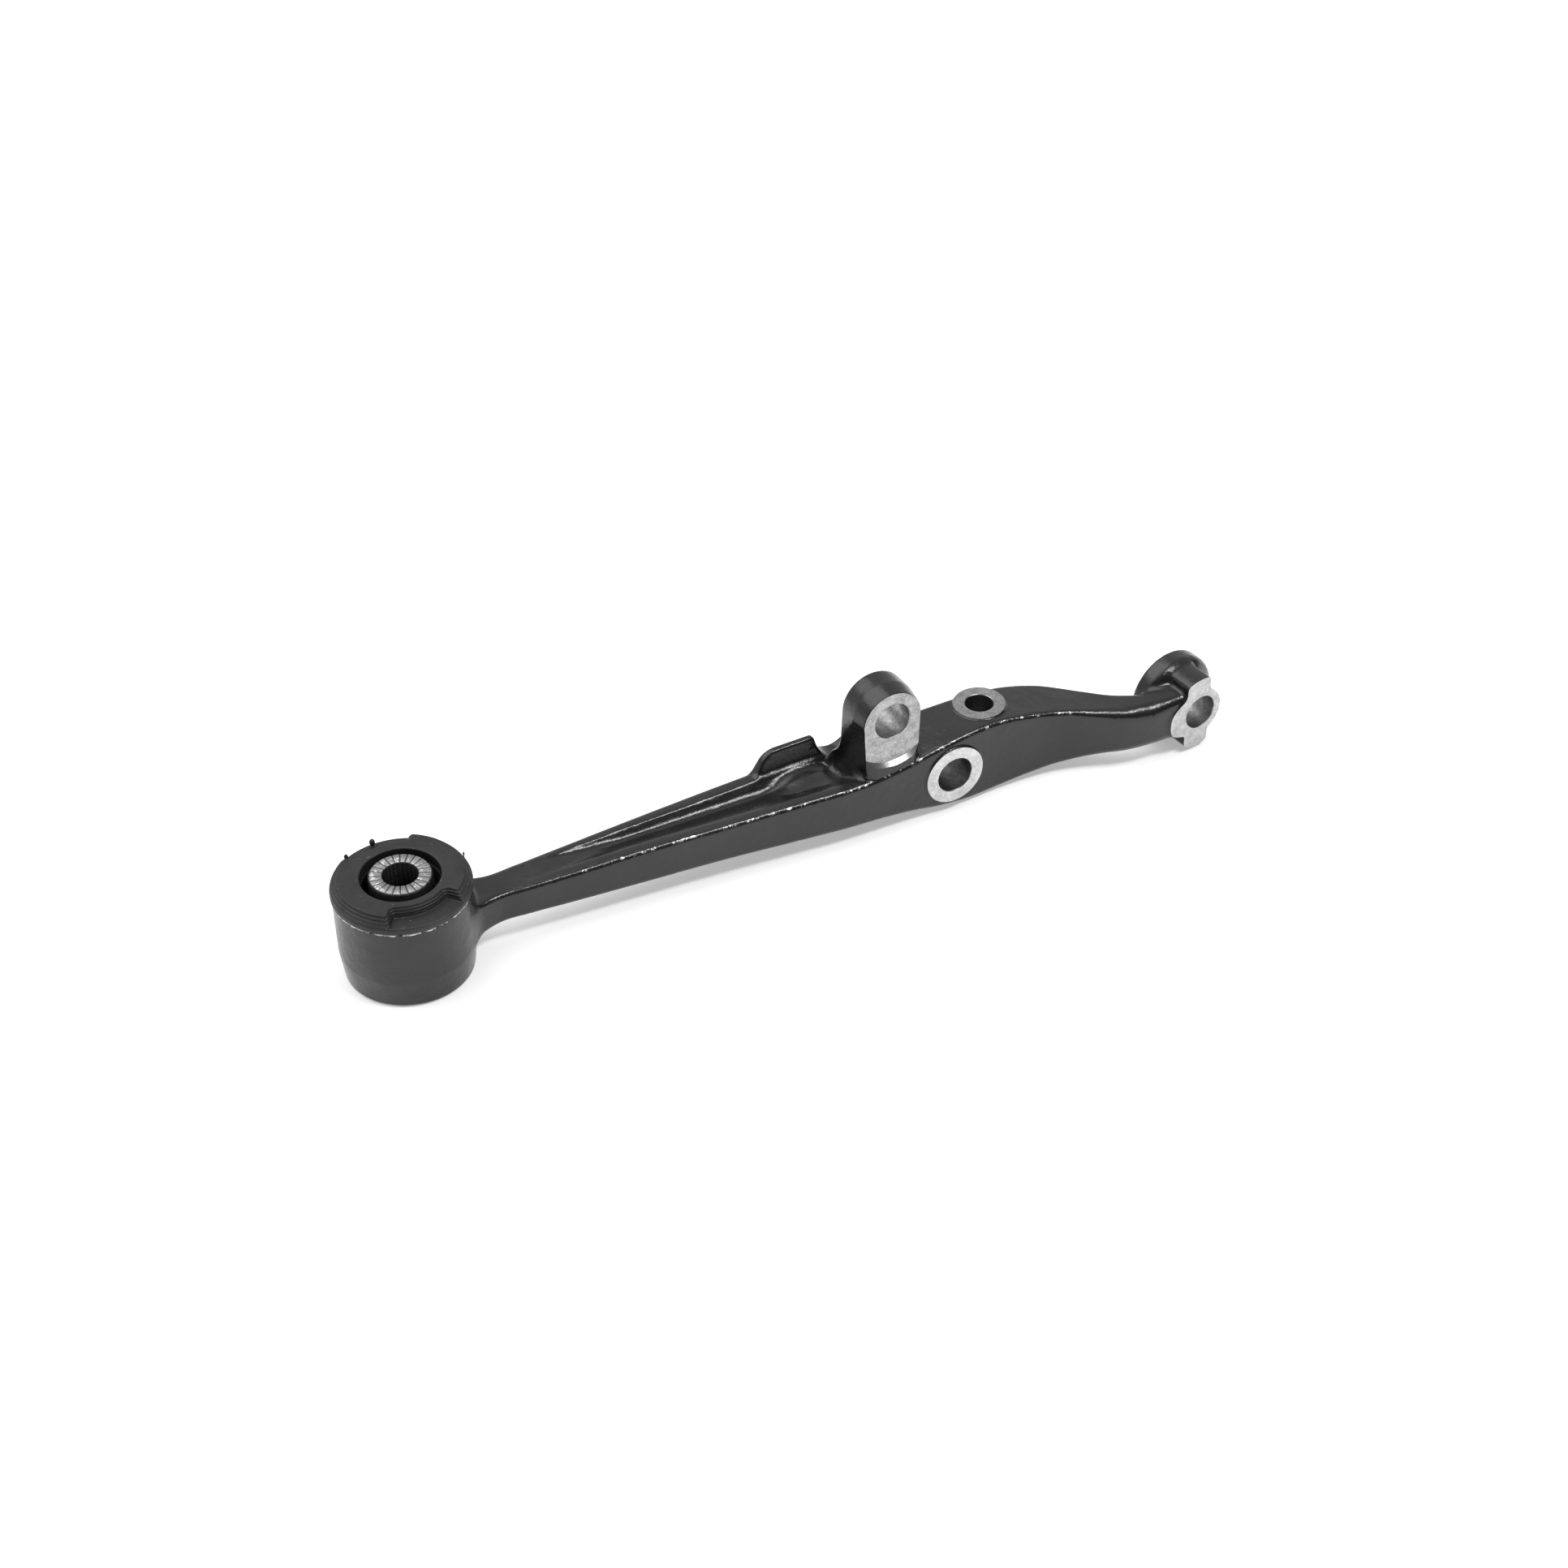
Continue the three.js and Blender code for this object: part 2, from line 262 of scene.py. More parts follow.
def pocket(side):
    """The long hollow of the I-section: a steep back wall and a gentle front slope."""
    wall = math.radians(POCKET_SLOPE["wall"])
    ramp = math.radians(POCKET_SLOPE["ramp"])

    def shape(x, y, z):
        front, _, half = link_at(x)
        share = np.clip((x - POCKET["start"]) / (POCKET["full"] - POCKET["start"]), 0, 1)
        depth = (half - POCKET["web"]) * share
        up = side * (z - MID_Z) - half
        floor = -depth - up
        in_front = (front + POCKET["rim_front"] - y) * math.sin(ramp) - up * math.cos(ramp)
        behind = (y - POCKET["wall"]) * math.sin(wall) - up * math.cos(wall)
        past_end = (x - POCKET["end"]) * math.sin(wall) - up * math.cos(wall)
        hollow = round_common(floor, in_front, np.clip(0.5 * depth, 0.2, 1.6))
        hollow = round_common(hollow, behind, np.clip(0.6 * depth, 0.2, 1.8))
        return round_common(hollow, past_end, 2.5)

    return shape


def bulge(x, y, z):
    """The web swells in front of the lug."""
    places = zip((x, y, z), BULGE["middle"], BULGE["size"])
    scaled = [(value - at) / half for value, at, half in places]
    return (np.sqrt(sum(value**2 for value in scaled)) - 1) * min(BULGE["size"])


def housing(x, y, z):
    radial = np.hypot(x, y)
    below_waist = np.clip((HOUSING["waist"] - z) / HOUSING["waist"], 0, 1)
    radius = HOUSING["radius"] - below_waist * (HOUSING["radius"] - HOUSING["foot"])
    return stub(radial, z, radius, HOUSING["low"], HOUSING["top"], 0.8)


def lug(x, y, z):
    """A short tab that stands on the rear rim, steep on the bush's side."""
    ramp = math.radians(LUG["ramp"])
    foot_x, foot_z = LUG["foot"]
    outline = round_common(z - LUG["top"], x - LUG["end"], LUG["edge"])
    rise = (foot_x - x) * math.sin(ramp) + (z - foot_z) * math.cos(ramp)
    outline = round_common(outline, rise, LUG["edge"])
    outline = np.maximum(outline, MID_Z + 6 - z)
    draft = math.radians(LUG_WALL["draft"])
    front = (LUG_WALL["front"] - y) * math.cos(draft) - (LUG["top"] - z) * math.sin(draft)
    return round_common(outline, round_common(front, y - LUG_WALL["back"], 0.9), 0.9)


def saddle(x, y, z):
    """A dip in the rear rim between the lug and the ear."""
    return np.maximum(np.hypot(x - SADDLE["x"], z - SADDLE["z"]) - SADDLE["radius"], SADDLE["front"] - y)


def ear(x, y, z):
    """A round head on a straight foot, with draft to both sides of a ridge along its edge."""
    cx, face, cz = EAR["centre"]
    down = np.clip(cz - z, 0, cz - MID_Z)
    lean = (EAR_DRAFT["bend"] - z) * EAR_DRAFT["lean"]
    ridge = np.clip(EAR_DRAFT["ridge"] + lean, EAR_DRAFT["ridge"], 3)
    slim = np.maximum(ridge - y, 0) * EAR_DRAFT["front"] + np.maximum(y - ridge, 0) * EAR_DRAFT["back"]
    slim = slim + np.maximum(face - y, 0) * EAR_DRAFT["nose"]
    outline = np.hypot(x - cx, z - cz + down) - EAR_HEAD["radius"] - EAR_HEAD["flare"] * down + slim
    front = face - EAR_HEAD["front"]
    back = face + EAR["depth"]
    sides = np.abs(y - (front + back) / 2) - (back - front) / 2
    root = round_union(y - back, z - EAR_ROOT["top"], EAR_ROOT["hollow"])
    root = np.maximum(root, np.maximum(y - EAR_ROOT["back"], front + 6 - y))
    return np.minimum(round_common(outline, sides, EAR_HEAD["edge"]), round_common(outline, root, 1.0))


def ear_fillet(x, y, z):
    """The fillet at the ear's foot: tight in front, wide at the back on the bush's side."""
    cx = EAR["centre"][0]
    share = np.interp(x, (cx - 6, cx + 8), (1.0, 0.9))
    return np.interp(y, EAR_FILLET["y"], EAR_FILLET["radius"]) * share


def damper_boss(x, y, z):
    cx, cy, top = DAMPER["centre"]
    low = top - DAMPER["depth"]
    return stub(np.hypot(x - cx, y - cy), z, DAMPER_BOSS["radius"], low - 1, top + 1, 0.5)


def side_boss(x, y, z):
    cx, face, cz = BOSS["centre"]
    back = face + BOSS["depth"]
    return stub(np.hypot(x - cx, z - cz), y, SIDE_BOSS["radius"], face - 1, back + 0.6, 0.5)


def eye_axes(x, y, z):
    """Coordinates about the eye: u along the face, v into the metal, w up, and the radius."""
    cx, cy, cz = EYE["centre"]
    nx, ny, _ = EYE["normal"]
    u = (cx - x) * ny + (y - cy) * nx
    v = (cx - x) * nx + (cy - y) * ny
    return u, v, z - cz, np.hypot(u, z - cz)


def eye_tube(x, y, z):
    _, v, _, radial = eye_axes(x, y, z)
    return stub(radial, v, EYE_WALL, -2, EYE["depth"], 0.8)


def eye_lobes(x, y, z):
    """Ribs above and below the bore, which run back from the machined face to the bell."""
    u, v, w, radial = eye_axes(x, y, z)
    rib = block((u, v, w), (LOBES["from"], -2, -30), (LOBES["to"], 17, 30), 1.4)
    return round_common(rib, radial - LOBES["reach"], 1.4)


def eye_shoulder(x, y, z):
    """The neck's front swells into the machined face as one rounded lobe."""
    u, v, w, _ = eye_axes(x, y, z)
    lobe = block((u, w), SHOULDER["low"], SHOULDER["high"], SHOULDER["corner"])
    return round_common(lobe, np.maximum(-2 - v, v - SHOULDER["depth"]), 1.5)


def bell(x, y, z):
    u, v, w, _ = eye_axes(x, y, z)
    radial = np.hypot(u - BELL["aside"], w)
    slope = 2 * BELL["curve"] * radial
    dome = (BELL["crown"] + BELL["curve"] * radial**2 - v) / np.sqrt(1 + slope**2)
    rim = round_common(radial - BELL["radius"], v - EYE["depth"], 0.8)
    return round_common(rim, dome, 1.6)


def raw_forging():
    """The forging before machining, with fillets where its parts flow together."""
    field = Field((-32, -62, -4), (380, 34, 76), 0.5)
    field.join(link_body, (12, -50, 0), (356, 20, 40), 0.5)
    for side in (1, -1):
        field.cut(pocket(side), (50, -30, 0), (215, 16, 44), 0.6)
    field.join(bulge, (160, -16, 14), (202, 10, 36), 3.0)
    field.join(housing, (-32, -32, -3), (60, 32, 44), 3.5)
    field.join(lug, (150, -2, 14), (205, 18, 46), 1.6)
    field.join(ear, (175, -40, 14), (250, 18, 76), ear_fillet)
    field.cut(saddle, (185, -2, 20), (212, 18, 50), 2.0)
    field.join(damper_boss, (240, -32, -3), (284, 18, 44), 1.2)
    field.join(side_boss, (218, -34, -3), (262, 18, 44), 1.2)
    eye_low, eye_high = (315, -62, -3), (380, 0, 44)
    field.join(eye_tube, eye_low, eye_high, 3.0)
    field.join(eye_shoulder, eye_low, eye_high, 3.0)
    field.join(bell, eye_low, eye_high, 3.0)
    field.join(eye_lobes, eye_low, eye_high, 1.6)
    return field.mesh("forged_arm")


# ---------------------------------------------------------------- machining cuts

def turned(name, profile, start=(0, 0, 0), axis=(0, 0, 1), segments=128, closed=True):
    """A solid of revolution from [radius, height] points about an axis through start.

    An open profile begins and ends on the axis, a closed one returns to its first point.
    """
    count = len(profile)
    angle = np.arange(segments) / segments * TURN
    side = np.array(Vector(axis).orthogonal().normalized())
    other = np.cross(axis, side)
    ring = np.cos(angle)[:, None] * side + np.sin(angle)[:, None] * other
    rows = [ring * radius + np.array(axis) * height for radius, height in profile]
    points = np.stack(rows, axis=1).reshape(-1, 3) + np.array(start)
    faces = []
    for s in range(segments):
        here, there = s * count, (s + 1) % segments * count
        for i in range(count if closed else count - 1):
            j = (i + 1) % count
            faces.append((here + i, there + i, there + j, here + j))
    return weld(solid(name, points, faces))


def weld(piece):
    """Merges points that coincide and turns every face outwards."""
    bm = bmesh.new()
    bm.from_mesh(piece.data)
    bmesh.ops.remove_doubles(bm, verts=bm.verts, dist=1e-7)
    bmesh.ops.recalc_face_normals(bm, faces=bm.faces)
    bm.to_mesh(piece.data)
    bm.free()
    return piece


def rounded(profile, radius, steps=4):
    """A closed profile with each corner replaced by an arc."""
    points = []
    corners = [np.array(point, float) for point in profile]
    for before, at, after in zip(corners[-1:] + corners[:-1], corners, corners[1:] + corners[:1]):
        inward, outward = before - at, after - at
        reach = min(radius, 0.45 * np.linalg.norm(inward), 0.45 * np.linalg.norm(outward))
        first = at + inward / np.linalg.norm(inward) * reach
        last = at + outward / np.linalg.norm(outward) * reach
        for t in np.linspace(0, 1, steps + 1):
            points.append((1 - t) ** 2 * first + 2 * t * (1 - t) * at + t**2 * last)
    return points


def drill(hole, near, far, chamfer=0.3):
    """A cutter for a hole that may taper, with a chamfer at both faces."""
    depth = hole["depth"]
    over = 20.0
    profile = [
        [0, over],
        [near + chamfer, over],
        [near + chamfer, 0],
        [near, -chamfer],
        [far, chamfer - depth],
        [far + chamfer, -depth],
        [far + chamfer, -depth - over],
        [0, -depth - over],
    ]
    return turned("cutter", profile, hole["centre"], hole["normal"], closed=False)


def spot_face(hole, radius, low, high, flare=0.0, rise=0.1):
    """A flat-ended cutter on a hole's axis, between two heights above its near face.

    Its side may flare out by flare over its first rise.
    """
    profile = [(0, low), (radius, low), (radius + flare, low + rise), (radius + flare, high), (0, high)]
    return turned("cutter", profile, hole["centre"], hole["normal"], closed=False)


def carve(piece, cutter, finish):
    """Subtracts a cutter, which leaves its own finish on the faces it makes."""
    cutter.data.materials.append(finish)
    cut = piece.modifiers.new("cut", "BOOLEAN")
    cut.operation = "DIFFERENCE"
    cut.solver = "MANIFOLD"
    cut.material_mode = "TRANSFER"
    cut.object = cutter
    bpy.context.view_layer.update()
    graph = bpy.context.evaluated_depsgraph_get()
    done = bpy.data.meshes.new_from_object(piece.evaluated_get(graph), depsgraph=graph)
    piece.modifiers.clear()
    piece.data = done
    bpy.data.objects.remove(cutter)


def machine(arm, bright, satin, dull, shaded_bore_steel):
    """Faces each boss flat, drills the holes and bores the bush housing."""
    away = 20.0
    faced = ((DAMPER, 12.4, 12.4, dull), (BOSS, 15.0, 15.0, bright), (EYE, 26.0, 23.0, satin))
    for hole, near, far, finish in faced:
        carve(arm, spot_face(hole, near, 0, away), finish)
        carve(arm, spot_face(hole, far, -hole["depth"] - away, -hole["depth"]), finish)
    flare = (EAR_CUTTER["flare"], EAR_CUTTER["rise"])
    carve(arm, spot_face(EAR, EAR_CUTTER["radius"], 0, away, *flare), dull)
    carve(arm, spot_face(EAR, 12.6, -EAR["depth"] - away, -EAR["depth"]), dull)
    carve(arm, drill(DAMPER, DAMPER_BOSS["hole"], DAMPER_BOSS["hole"]), dull)
    # The bores take the darker steel, which is painted shade inside the holes.
    carve(arm, drill(BOSS, SIDE_BOSS["hole"], SIDE_BOSS["hole"]), shaded_bore_steel)
    carve(arm, drill(EAR, BOLT_HOLE, BOLT_HOLE), shaded_bore_steel)
    carve(arm, drill(EYE, TAPER["small"], TAPER["large"]), shaded_bore_steel)
    bore = [
        [0, -away],
        [HOUSING["bore"] + 0.8, -away],
        [HOUSING["bore"] + 0.8, HOUSING["low"]],
        [HOUSING["bore"], HOUSING["low"] + 0.8],
        [HOUSING["bore"], HOUSING["top"] + away],
        [0, HOUSING["top"] + away],
    ]
    carve(arm, turned("cutter", bore, segments=192, closed=False), shaded_bore_steel)


def crisp_edges(piece):
    """Keeps the line between a machined face and its neighbours sharp."""
    bm = bmesh.new()
    bm.from_mesh(piece.data)
    bm.normal_update()
    for edge in bm.edges:
        if len(edge.link_faces) != 2:
            continue
        one, other = edge.link_faces
        cut = max(one.material_index, other.material_index) > 0
        edge.smooth = not (cut and edge.calc_face_angle(0) > math.radians(25))
    for face in bm.faces:
        face.smooth = True
    bm.to_mesh(piece.data)
    bm.free()


def note_turning(piece):
    """Stores each point's place about the nearest hole, for the lathe marks on machined faces."""
    count = len(piece.data.vertices)
    points = np.empty(count * 3, np.float32)
    piece.data.vertices.foreach_get("co", points)
    points = in_bush(points.reshape(-1, 3))
    best = np.full(count, np.inf)
    local = np.zeros((count, 3), np.float32)
    for hole in HOLES:
        offset = points - hole["centre"]
        along = offset @ hole["normal"]
        flat = offset - along[:, None] * hole["normal"]
        radius = np.linalg.norm(flat, axis=1)
        nearer = radius + np.maximum(0, along) + np.maximum(0, -hole["depth"] - along) < best
        best[nearer] = radius[nearer]
        local[nearer] = flat[nearer]
    turning = piece.data.attributes.new("turning", "FLOAT_VECTOR", "POINT")
    turning.data.foreach_set("vector", local.ravel())


# ---------------------------------------------------------------- bush

FLANGE = {"inner": 16.1, "top": 46.5, "plateau": 25.3, "radius": 28.2, "skirt": 39.5, "ledge": 42.2}
TERRACES = ((0.0, 46.5), (1.0, 45.4), (1.9, 44.3), (2.6, 43.1))
NOTCHES = (
    {"middle": math.radians(-88), "half": math.radians(37), "radius": 19.4},
    {"middle": math.radians(92), "half": math.radians(34), "radius": 20.4},
)
NOTCH_STEP = 0.55
# Moulding nibs: x, y, top and radius of each, with a head wider than its pin.
NIBS = ((-0.8, 27.2, 44.9, 0.55), (-14.4, 20.3, 48.0, 0.4), (27.8, 1.9, 45.6, 0.22))
NIB_HEAD = {"width": 2.2, "height": 2.8, "drop": 1.2}
SHELL = {"inner": 21.2, "outer": 23.0, "low": 1.4, "flange": 25.4, "seat": 39.5, "top": 41.2}
GAP = 0.3


def outline(x, y, reach):
    """Distance outside the flange's notched top, seen from above, grown by a terrace's reach."""
    radial = np.hypot(x, y)
    edge = radial - FLANGE["plateau"] - reach
    for notch in NOTCHES:
        turn = np.abs((np.arctan2(y, x) - notch["middle"] + math.pi) % TURN - math.pi)
        beside = radial * (turn - notch["half"])
        gap = round_common(notch["radius"] - radial, beside, 2.4)
        edge = round_common(edge, -gap - NOTCH_STEP * reach, 1.4)
    return edge


def stop_flange():
    """The rubber end stop: a notched top, terraces that follow it, and a plain skirt."""
    field = Field((-30, -30, 38), (30, 30, 49), 0.28)
    _, x, y, z = field.window((-99, -99, -99), (99, 99, 99))
    radial = np.hypot(x, y)
    shape = round_common(radial - FLANGE["radius"], z - FLANGE["ledge"], 0.5)
    for reach, height in TERRACES:
        shape = round_union(shape, round_common(outline(x, y, reach), z - height, 0.3), 0.15)
    for nx, ny, top, radius in NIBS:
        about = np.hypot(x - nx, y - ny)
        pin = stub(about, z, radius, FLANGE["ledge"] - 1, top, 0.3)
        above = z - top + NIB_HEAD["drop"]
        head = (np.hypot(about / NIB_HEAD["width"], above / NIB_HEAD["height"]) - radius) * 2
        shape = round_union(shape, np.minimum(pin, head), 0.3)
    under = FLANGE["skirt"] + 2.0
    shape = round_common(shape, FLANGE["skirt"] - z, 0.4)
    shape = np.maximum(shape, -np.maximum(radial - SHELL["flange"] - GAP, z - under))
    shape = round_common(shape, FLANGE["inner"] - radial, 0.5)
    field.d = np.broadcast_to(shape, field.d.shape).astype(np.float32)
    return field.mesh("stop_flange_rubber")


def outer_shell():
    profile = [
        [SHELL["inner"], SHELL["low"]],
        [SHELL["outer"], SHELL["low"]],
        [SHELL["outer"], SHELL["seat"]],
        [SHELL["flange"], SHELL["seat"]],
        [SHELL["flange"], SHELL["top"]],
        [SHELL["inner"], SHELL["top"]],
    ]
    return turned("outer_shell_steel", rounded(profile, 0.4), segments=192)


SLEEVE = {"bore": 7.1, "radius": 12.9, "teeth": 24, "groove": 0.5, "width": 0.7, "bevel": 0.9}


def rubber_core():
    inner = SLEEVE["radius"] + GAP
    top = SHELL["top"]
    profile = [
        [inner, 6.0],
        [15.6, 5.2],
        [18.0, 4.0],
        [SHELL["inner"] - GAP, 3.0],
        [SHELL["inner"] - GAP, top],
        [16.0, top],
        [15.4, top - 7.0],
        [inner, top - 9.0],
    ]
    return turned("core_rubber", rounded(profile, 1.2, 6), segments=160)


def inner_sleeve():
    """A thick steel tube whose end faces are scored all round, to bite into the bracket."""
    steps = 10
    count = SLEEVE["teeth"] * steps
    turn = np.arange(count) / count * TURN
    phase = np.abs((turn * SLEEVE["teeth"] / TURN) % 1 - 0.5)
    bore, radius, bevel = SLEEVE["bore"], SLEEVE["radius"], SLEEVE["bevel"]
    scored = [bore + 0.45, (bore + radius) / 2, radius - bevel]
    rows = [(bore, 0.45, 0), *((r, 0, 1) for r in scored), (radius, bevel, 0)]
    rows += [(radius, SLEEVE_TOP - bevel, 0), *((r, SLEEVE_TOP, -1) for r in reversed(scored))]
    rows += [(bore, SLEEVE_TOP - 0.45, 0)]
    points = []
    for r, z, lift in rows:
        half_width = SLEEVE["width"] / 2 * SLEEVE["teeth"] / (TURN * r)
        dip = np.clip(1 - phase / half_width, 0, 1) * SLEEVE["groove"] * lift
        points.append(np.stack([r * np.cos(turn), r * np.sin(turn), z + dip], axis=1))
    faces = []
    for i in range(len(rows)):
        j = (i + 1) % len(rows)
        for s in range(count):
            t = (s + 1) % count
            faces.append((i * count + s, i * count + t, j * count + t, j * count + s))
    return weld(solid("inner_sleeve_steel", np.concatenate(points), faces))


# ---------------------------------------------------------------- materials

class Nodes:
    """A node tree being built."""

    def __init__(self, tree):
        self.tree = tree

    def add(self, kind, **settings):
        node = self.tree.nodes.new(kind)
        for name, value in settings.items():
            if hasattr(node, name):
                setattr(node, name, value)
            else:
                self.feed(node.inputs[name.replace("_", " ").title()], value)
        return node

    def feed(self, socket, value):
        if isinstance(value, bpy.types.NodeSocket):
            self.tree.links.new(value, socket)
        else:
            socket.default_value = value

    def ramp(self, value, low, high, start=0.0, end=1.0):
        """Maps low..high of a value to start..end, and no further."""
        node = self.add("ShaderNodeMapRange")
        for socket, number in zip(node.inputs, (value, low, high, start, end)):
            self.feed(socket, number)
        return node.outputs[0]


class Shader(Nodes):
    """A material being built around its Principled BSDF."""

    def __init__(self, name):
        self.material = bpy.data.materials.new(name)
        self.material.use_nodes = True
        super().__init__(self.material.node_tree)
        self.surface = self.tree.nodes["Principled BSDF"]
        self.place = self.add("ShaderNodeTexCoord").outputs["Object"]

    def stretched(self, scale):
        """Object coordinates stretched to a scale along each axis."""
        return self.add("ShaderNodeMapping", vector=self.place, scale=scale).outputs[0]

    def noise(self, per_metre, detail=2.0, roughness=0.5, vector=None):
        node = self.add("ShaderNodeTexNoise", scale=per_metre, detail=detail, roughness=roughness)
        self.feed(node.inputs["Vector"], vector or self.place)
        return node.outputs[0]

    def math(self, operation, one, other=0.0):
        node = self.add("ShaderNodeMath", operation=operation)
        self.feed(node.inputs[0], one)
        self.feed(node.inputs[1], other)
        return node.outputs[0]

    def blend(self, share, one, other):
        """A colour between two greys or two sockets."""
        node = self.add("ShaderNodeMix", data_type="RGBA")
        self.feed(node.inputs["Factor"], share)
        for socket, value in zip((node.inputs[6], node.inputs[7]), (one, other)):
            self.feed(socket, (value, value, value, 1) if isinstance(value, float) else value)
        return node.outputs[2]

    def bump(self, height, depth, strength=1.0, over=None):
        node = self.add("ShaderNodeBump", strength=strength, distance=depth)
        self.feed(node.inputs["Height"], height)
        if over is not None:
            self.feed(node.inputs["Normal"], over)
        return node.outputs[0]

    def finish(self, **sockets):
        for name, value in sockets.items():
            self.feed(self.surface.inputs[name.replace("_", " ")], value)
        return self.material


def black_paint():
    """Gloss black over shot-blasted steel: grain and soft waves under the paint, a worn rim that also
    carries a painted highlight, and bare spots along the link's front edge that are painted glints.
    """
    s = Shader("black_paint")
    waves = s.noise(150.0, 2.0)
    grain = s.noise(800.0, 3.0, 0.65)
    pits = s.noise(2200.0, 2.0, 0.6)
    streaks = s.noise(1.0, 2.0, 0.5, s.stretched((900.0, 900.0, 60.0)))
    normal = s.bump(waves, 0.0003)
    normal = s.bump(grain, 0.00008, 1.0, normal)
    normal = s.bump(pits, 0.00003, 1.0, normal)
    normal = s.bump(streaks, 0.00003, 1.0, normal)
    patches = s.noise(45.0, 3.0)
    colour = s.blend(s.ramp(patches, 0.35, 0.65), 0.006, 0.012)
    gloss = s.ramp(grain, 0.3, 0.7, 0.16, 0.28)
    # This attribute turns spots to bare metal: real paint wear on the housing rim, which also stands for
    # a painted highlight, and painted glints along the link's front edge.
    worn_and_glint = s.add("ShaderNodeAttribute", attribute_name="wear_and_glint").outputs["Fac"]
    chips_and_sparkle = s.noise(300.0, 4.0, 0.8)
    bare_and_glint = s.ramp(s.math("ADD", worn_and_glint, chips_and_sparkle), 1.0, 1.08)
    colour = s.blend(bare_and_glint, colour, 0.62)
    rough = s.math("ADD", gloss, s.math("MULTIPLY", bare_and_glint, 0.2))
    return s.finish(Base_Color=colour, Roughness=rough, Metallic=bare_and_glint, Normal=normal)


def machined_steel(name, dark, light, smooth):
    """Cut steel: fine rings about each hole, faint grain and smudges of oil."""
    s = Shader(name)
    turning = s.add("ShaderNodeAttribute", attribute_name="turning").outputs["Vector"]
    radius = s.add("ShaderNodeVectorMath", operation="LENGTH")
    s.feed(radius.inputs[0], turning)
    rings = s.add("ShaderNodeTexNoise", noise_dimensions="1D", detail=3.0, scale=5.0)
    s.feed(rings.inputs["W"], radius.outputs["Value"])
    grain = s.noise(1200.0, 3.0, 0.6)
    smudge = s.noise(300.0, 4.0, 0.65)
    normal = s.bump(rings.outputs[0], 0.00003)
    normal = s.bump(grain, 0.00003, 1.0, normal)
    colour = s.blend(s.ramp(smudge, 0.35, 0.65), dark, light)
    colour = s.blend(s.ramp(grain, 0.55, 0.75), colour, min(1.0, light * 1.25))
    rough = s.ramp(smudge, 0.3, 0.7, smooth + 0.1, smooth)
    return s.finish(Base_Color=colour, Roughness=rough, Metallic=1.0, Normal=normal)


def zinc_steel():
    """Dull zinc plate, rubbed bright in spots on the end faces; the bottoms of the scores, the bore and
    the sides are painted near black as shade.
    """
    s = Shader("zinc_steel")
    mottle = s.noise(900.0, 3.0, 0.65)
    rubbed = s.ramp(s.noise(500.0, 3.0, 0.7), 0.56, 0.68)
    height = s.add("ShaderNodeSeparateXYZ")
    s.feed(height.inputs[0], s.place)
    from_middle = s.math("ABSOLUTE", s.math("SUBTRACT", height.outputs["Z"], SLEEVE_TOP * MM / 2))
    half = SLEEVE_TOP * MM / 2
    face = s.ramp(from_middle, half - 0.0003, half - 0.0001)
    bright = s.blend(s.ramp(mottle, 0.3, 0.7), 0.20, 0.36)
    bright = s.blend(rubbed, bright, 0.80)
    # Off the end faces, in the scores, the bore and on the sides, the colour is painted near black:
    # painted shade.
    colour = s.blend(face, 0.05, bright)
    rough = s.ramp(rubbed, 0.0, 1.0, 0.5, 0.3)
    normal = s.bump(mottle, 0.00008)
    return s.finish(Base_Color=colour, Roughness=rough, Metallic=1.0, Normal=normal)


def coated_steel():
    s = Shader("coated_steel")
    mottle = s.noise(700.0, 3.0)
    colour = s.blend(s.ramp(mottle, 0.3, 0.7), 0.035, 0.06)
    rough = s.ramp(mottle, 0.3, 0.7, 0.42, 0.55)
    return s.finish(Base_Color=colour, Roughness=rough, Metallic=0.7, Normal=s.bump(mottle, 0.00005))


def bush_rubber():
    """Moulded black rubber: a satin skin with bloom, specks and a fine matt grain."""
    s = Shader("bush_rubber")
    bloom = s.noise(120.0, 4.0, 0.6)
    grain = s.noise(1600.0, 2.0)
    specks = s.ramp(s.noise(700.0, 2.0), 0.70, 0.76)
    colour = s.blend(s.ramp(bloom, 0.3, 0.7), 0.009, 0.017)
    colour = s.blend(specks, colour, 0.10)
    rough = s.ramp(bloom, 0.3, 0.7, 0.58, 0.42)
    normal = s.bump(s.noise(350.0, 2.0), 0.00008)
    normal = s.bump(grain, 0.00003, 1.0, normal)
    return s.finish(Base_Color=colour, Roughness=rough, Specular_IOR_Level=0.4, Normal=normal)


def studio_floor():
    """A white sweep that is lit from below as well, so that shadows stay pale."""
    s = Shader("studio_floor")
    tone = s.blend(s.noise(0.6, 2.0), 0.78, 0.80)
    glow = dict(Emission_Color=(1, 1, 1, 1), Emission_Strength=0.36)
    return s.finish(Base_Color=tone, Roughness=0.9, Specular_IOR_Level=0.0, **glow)


# ---------------------------------------------------------------- assembly

# Levels of the bare-metal mask: real wear with a painted highlight on the rim, painted glints on the
# front edge.
WEAR_AND_GLINT = {"rim": 0.62, "ridge": 0.45}


